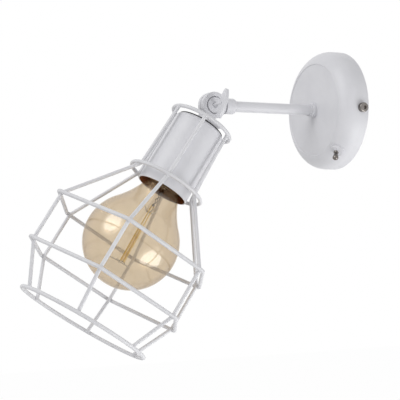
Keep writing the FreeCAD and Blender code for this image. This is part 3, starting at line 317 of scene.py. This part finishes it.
# Inside the bulb, heights run down the head's axis from the hinge. Places aside and to the front of the
# axis are laid out across it as the photograph shows them.
BULB_MIDDLE = 0.15
FRONT = (CAMERA_PLACE - head_point(BULB_MIDDLE)).normalized()
SIDEWAYS = HEAD_AXIS.cross(FRONT).normalized()

# the two strands of the filament, each thin above its waist and wound wider below it
STRAND_TOP = 0.121
STRAND_WAIST = 0.146
STRAND_LOW = 0.1835
STRAND_FRONT = 0.0016
STRANDS = ((0.0007, -0.0010), (-0.0016, -0.0038))  # each strand's place aside at its top and its low end
STRAND_WIRE = 0.00034
THIN_REACH = 0.00025
WIDE_REACH = 0.0011
WAIST_SPAN = 0.05  # share of the strand over which it widens
COIL_PITCH = 0.0011
COIL_STEPS = 10  # points in one turn of the coil

# the crimped leads in the stem, their links to the strands, and the hook below
LEADS_TOP = 0.100
LEADS_DROP = 0.0205
LEADS_STEPS = 60
LEADS_WIRE = 0.00038
LEADS_APART = 0.0009
LEADS_ASIDE = -0.0008
LEAD_PHASES = ((1, 0.0), (-1, 1.7))
CRIMP_ASIDE = 0.0008
CRIMP_FRONT = 0.0006
CRIMP_TURN_ASIDE = 21
CRIMP_TURN_FRONT = 16
LINK_START = (0.1195, -0.0004, 0)
LINK_LAP = 0.001
LINK_WIRE = 0.00035
HOOK_WIRE = 0.0004
HOOK = (  # below the strands' low end, aside, to the front
    (0.0015, 0.0000, 0.0), (0.0006, 0.0005, 0.0012), (-0.0004, -0.0008, 0.0026), (0.0002, -0.0024, 0.0028),
    (-0.0004, -0.0040, 0.0026), (0.0008, -0.0052, 0.0014), (0.0014, -0.0058, 0.0002),
)


def inside_point(height, aside, front=STRAND_FRONT):
    """A point inside the globe: down the axis, to the side and towards the front."""
    return head_point(height) + SIDEWAYS * aside + FRONT * front


def coiled_strand(mesh, top, low):
    """Fine coil from the stem's hook to the lower hook, wound wider over its lower part."""
    way = low - top
    along = way.normalized()
    across = along.orthogonal().normalized()
    other = along.cross(across)
    steps = int(way.length / COIL_PITCH * COIL_STEPS)
    waist = (STRAND_WAIST - STRAND_TOP) / (STRAND_LOW - STRAND_TOP)
    path = []
    for step in range(steps + 1):
        share = step / steps
        widening = min(max((share - waist) / WAIST_SPAN + 0.5, 0), 1)
        turn = 2 * math.pi * step / COIL_STEPS
        reach = THIN_REACH + (WIDE_REACH - THIN_REACH) * widening
        path.append(top + way * share + (across * math.cos(turn) + other * math.sin(turn)) * reach)
    sweep(mesh, path, STRAND_WIRE)


def filament_coil():
    """The filament as photographed: two coiled strands side by side, linked by the lower hook."""
    mesh = bmesh.new()
    for top_aside, low_aside in STRANDS:
        coiled_strand(mesh, inside_point(STRAND_TOP, top_aside), inside_point(STRAND_LOW, low_aside))
    piece("filament_coil", mesh, FINISHES["filament_wire"], "bulb", ["filament"])


def lead_wires():
    """Crimped leads in the glass stem, and the hooks that hold the strands' ends."""
    mesh = bmesh.new()
    for side, phase in LEAD_PHASES:
        path = []
        for step in range(LEADS_STEPS + 1):
            share = step / LEADS_STEPS
            sway = CRIMP_ASIDE * math.sin(phase + CRIMP_TURN_ASIDE * share)
            apart = side * LEADS_APART * (1 - 0.5 * share)
            front = CRIMP_FRONT * math.cos(phase + CRIMP_TURN_FRONT * share)
            path.append(inside_point(LEADS_TOP + LEADS_DROP * share, sway + apart + LEADS_ASIDE, front))
        sweep(mesh, path, LEADS_WIRE)
    for top_aside, _ in STRANDS:
        link = between(inside_point(*LINK_START), inside_point(STRAND_TOP + LINK_LAP, top_aside), 4)
        sweep(mesh, link, LINK_WIRE)
    hook = [inside_point(STRAND_LOW + drop, aside, front) for drop, aside, front in HOOK]
    sweep(mesh, hook, HOOK_WIRE)
    piece("lead_wires", mesh, FINISHES["lead_wire"], "bulb")


# the cage's wires, from the part's source: radius and height of each rib's corners, and twist in degrees
RIBS = 6
CAGE_TURN = 26.8
RIB_RADIUS = 0.0018
WELD_SINK = 0.0005
RIB_TOP = (0.0321, 0.0243, -6.5)
RIB_NECK = (0.0340, 0.0930, -3.4)
RIB_SHOULDER = (0.0856, 0.1616)
RIB_WAIST = (0.0856, 0.2118)
RIB_MOUTH = (0.0630, 0.2539)
NECK_SETBACK = 0.0041
MOUTH_SETBACK = 0.0022

# a bead's half sizes away from the rib, round the cage and down it, and how uneven beads are
BEAD_SEED = 7
BEAD_DEEP = 0.00135
BEAD_WIDE = 0.0026
BEAD_TALL = 0.0025
BEAD_SWELL = (0.88, 1.12)
BEAD_LUMP = 0.10


def weld_places():
    """Radius, height and twist of the touch between one rib and each ring."""
    touch = RIB_RADIUS - WELD_SINK / 2
    run = RIB_SHOULDER[0] - RIB_NECK[0]
    rise = RIB_SHOULDER[1] - RIB_NECK[1]
    flare = math.hypot(run, rise)
    down = NECK_SETBACK / flare
    yield (RIB_NECK[0] + run * down + touch * rise / flare,
           RIB_NECK[1] + rise * down - touch * run / flare, RIB_NECK[2] * (1 - down))
    yield RIB_SHOULDER[0] + touch, RIB_SHOULDER[1], 0.0
    yield RIB_WAIST[0] + touch, RIB_WAIST[1], 0.0
    run = RIB_WAIST[0] - RIB_MOUTH[0]
    rise = RIB_MOUTH[1] - RIB_WAIST[1]
    taper = math.hypot(run, rise)
    up = MOUTH_SETBACK / taper
    yield (RIB_MOUTH[0] + run * up + touch * rise / taper,
           RIB_MOUTH[1] - rise * up + touch * run / taper, 0.0)
    yield RIB_TOP


def weld_beads():
    """Small uneven beads of weld under the coat, where each rib meets each ring."""
    mesh = bmesh.new()
    draws = random.Random(BEAD_SEED)
    for rib in range(RIBS):
        for radius, height, twist in weld_places():
            middle = head_point(height, radius, CAGE_TURN + 360 / RIBS * rib + twist)
            outward = (middle - head_point(height)).normalized()
            along = HEAD_AXIS.cross(outward)
            ball = bmesh.ops.create_icosphere(mesh, subdivisions=3, radius=1.0)["verts"]
            deep, wide, tall = [draws.uniform(*BEAD_SWELL) for _ in range(3)]
            for vert in ball:
                x, y, z = vert.co
                lump = 1 + BEAD_LUMP * math.sin(3.1 * x + 2 * deep) * math.sin(2.7 * y + 5 * wide)
                reach = outward * (x * BEAD_DEEP * deep) + along * (y * BEAD_WIDE * wide)
                vert.co = middle + (reach + HEAD_AXIS * (z * BEAD_TALL * tall)) * lump
    piece("weld_beads", mesh, FINISHES["white_wire"], "head")


filament_coil()
lead_wires()
weld_beads()

# ---------------------------------------------------------------- stage

FLOOR_LEVEL = -0.9
FLOOR_HALF = 4.0
FLOOR_TONE = 0.85
FLOOR_SHOWN = 0.98  # how much of the floor is shown as plain white; the rest keeps the shadow
SURROUNDINGS = 0.57
HEART = Vector((0.0, -0.18, -0.12))

# place, diameter and watts of each round lamp; a wider, fainter halo softens each lamp's highlight
LAMPS = {
    "key_lamp": ((0.21, -1.29, 0.87), 1.05, 6.5),
    "key_halo": ((0.22, -1.33, 0.91), 1.6, 3.0),
    "low_lamp": ((0.60, 0.22, -0.78), 0.9, 5.5),
    "low_halo": ((0.63, 0.24, -0.82), 1.35, 2.5),
}


def looked_at(tree):
    """One where the ray comes from the camera, straight or by way of metal or glass, otherwise nought."""
    path = tree.nodes.new("ShaderNodeLightPath")
    by_metal, by_glass = path.outputs["Is Glossy Ray"], path.outputs["Is Transmission Ray"]
    mirrored = calculated(tree, "MAXIMUM", by_metal, by_glass)
    return calculated(tree, "MAXIMUM", path.outputs["Is Camera Ray"], mirrored)


def floor():
    """Large pale matt floor below the light, which shows itself to the camera mostly as plain white."""
    material, tree, shader = new_material("floor_white")
    tree.nodes.remove(shader)
    matt = tree.nodes.new("ShaderNodeBsdfDiffuse")
    matt.inputs["Color"].default_value = (FLOOR_TONE, FLOOR_TONE, FLOOR_TONE, 1)
    plain = tree.nodes.new("ShaderNodeEmission")
    plain.inputs["Strength"].default_value = 1.0
    share = calculated(tree, "MULTIPLY", looked_at(tree), FLOOR_SHOWN)
    mixed(tree, share, matt.outputs["BSDF"], plain.outputs["Emission"], "Material Output")
    mesh = bpy.data.meshes.new("floor")
    corners = [(x * FLOOR_HALF, y * FLOOR_HALF, 0) for x, y in ((-1, -1), (1, -1), (1, 1), (-1, 1))]
    mesh.from_pydata(corners, [], [(0, 1, 2, 3)])
    mesh.materials.append(material)
    plane = bpy.data.objects.new("floor", mesh)
    plane.location = (0, 0, FLOOR_LEVEL)
    bpy.context.collection.objects.link(plane)


def surroundings():
    """Even pale surroundings, white where the camera looks past the object."""
    sky = bpy.data.worlds.new("studio")
    bpy.context.scene.world = sky
    sky.use_nodes = True
    tree = sky.node_tree
    light = tree.nodes["Background"]
    shown = tree.nodes.new("ShaderNodeBackground")
    for background, strength in ((light, SURROUNDINGS), (shown, 1.0)):
        background.inputs["Color"].default_value = (1, 1, 1, 1)
        background.inputs["Strength"].default_value = strength
    mixed(tree, looked_at(tree), light.outputs["Background"], shown.outputs["Background"], "World Output")


def lamp(name, place, size, power):
    """Soft round lamp that faces the object."""
    data = bpy.data.lights.new(name, "AREA")
    data.shape = "DISK"
    data.size = size
    data.energy = power
    thing = bpy.data.objects.new(name, data)
    thing.location = place
    thing.rotation_euler = (HEART - Vector(place)).to_track_quat("-Z", "Y").to_euler()
    bpy.context.collection.objects.link(thing)


def camera():
    """The photograph's camera."""
    turn = math.radians(CAMERA_AZIMUTH)
    rise = math.radians(CAMERA_ELEVATION)
    roll = math.radians(CAMERA_ROLL)
    forward = Vector((-math.sin(turn) * math.cos(rise), math.cos(turn) * math.cos(rise), -math.sin(rise)))
    right = Vector((math.cos(turn), math.sin(turn), 0))
    up = right.cross(forward)
    rolled_right = right * math.cos(roll) + up * math.sin(roll)
    rolled_up = up * math.cos(roll) - right * math.sin(roll)
    data = bpy.data.cameras.new("camera")
    data.lens = CAMERA_LENS
    data.sensor_width = SENSOR_WIDTH
    data.clip_start = CAMERA_NEAR
    thing = bpy.data.objects.new("camera", data)
    axes = Matrix((rolled_right, rolled_up, -forward)).transposed()
    thing.matrix_world = Matrix.Translation(CAMERA_PLACE) @ axes.to_4x4()
    bpy.context.collection.objects.link(thing)
    bpy.context.scene.camera = thing


bpy.context.scene.view_settings.view_transform = "Standard"
floor()
surroundings()
for name, (place, size, power) in LAMPS.items():
    lamp(name, place, size, power)
camera()
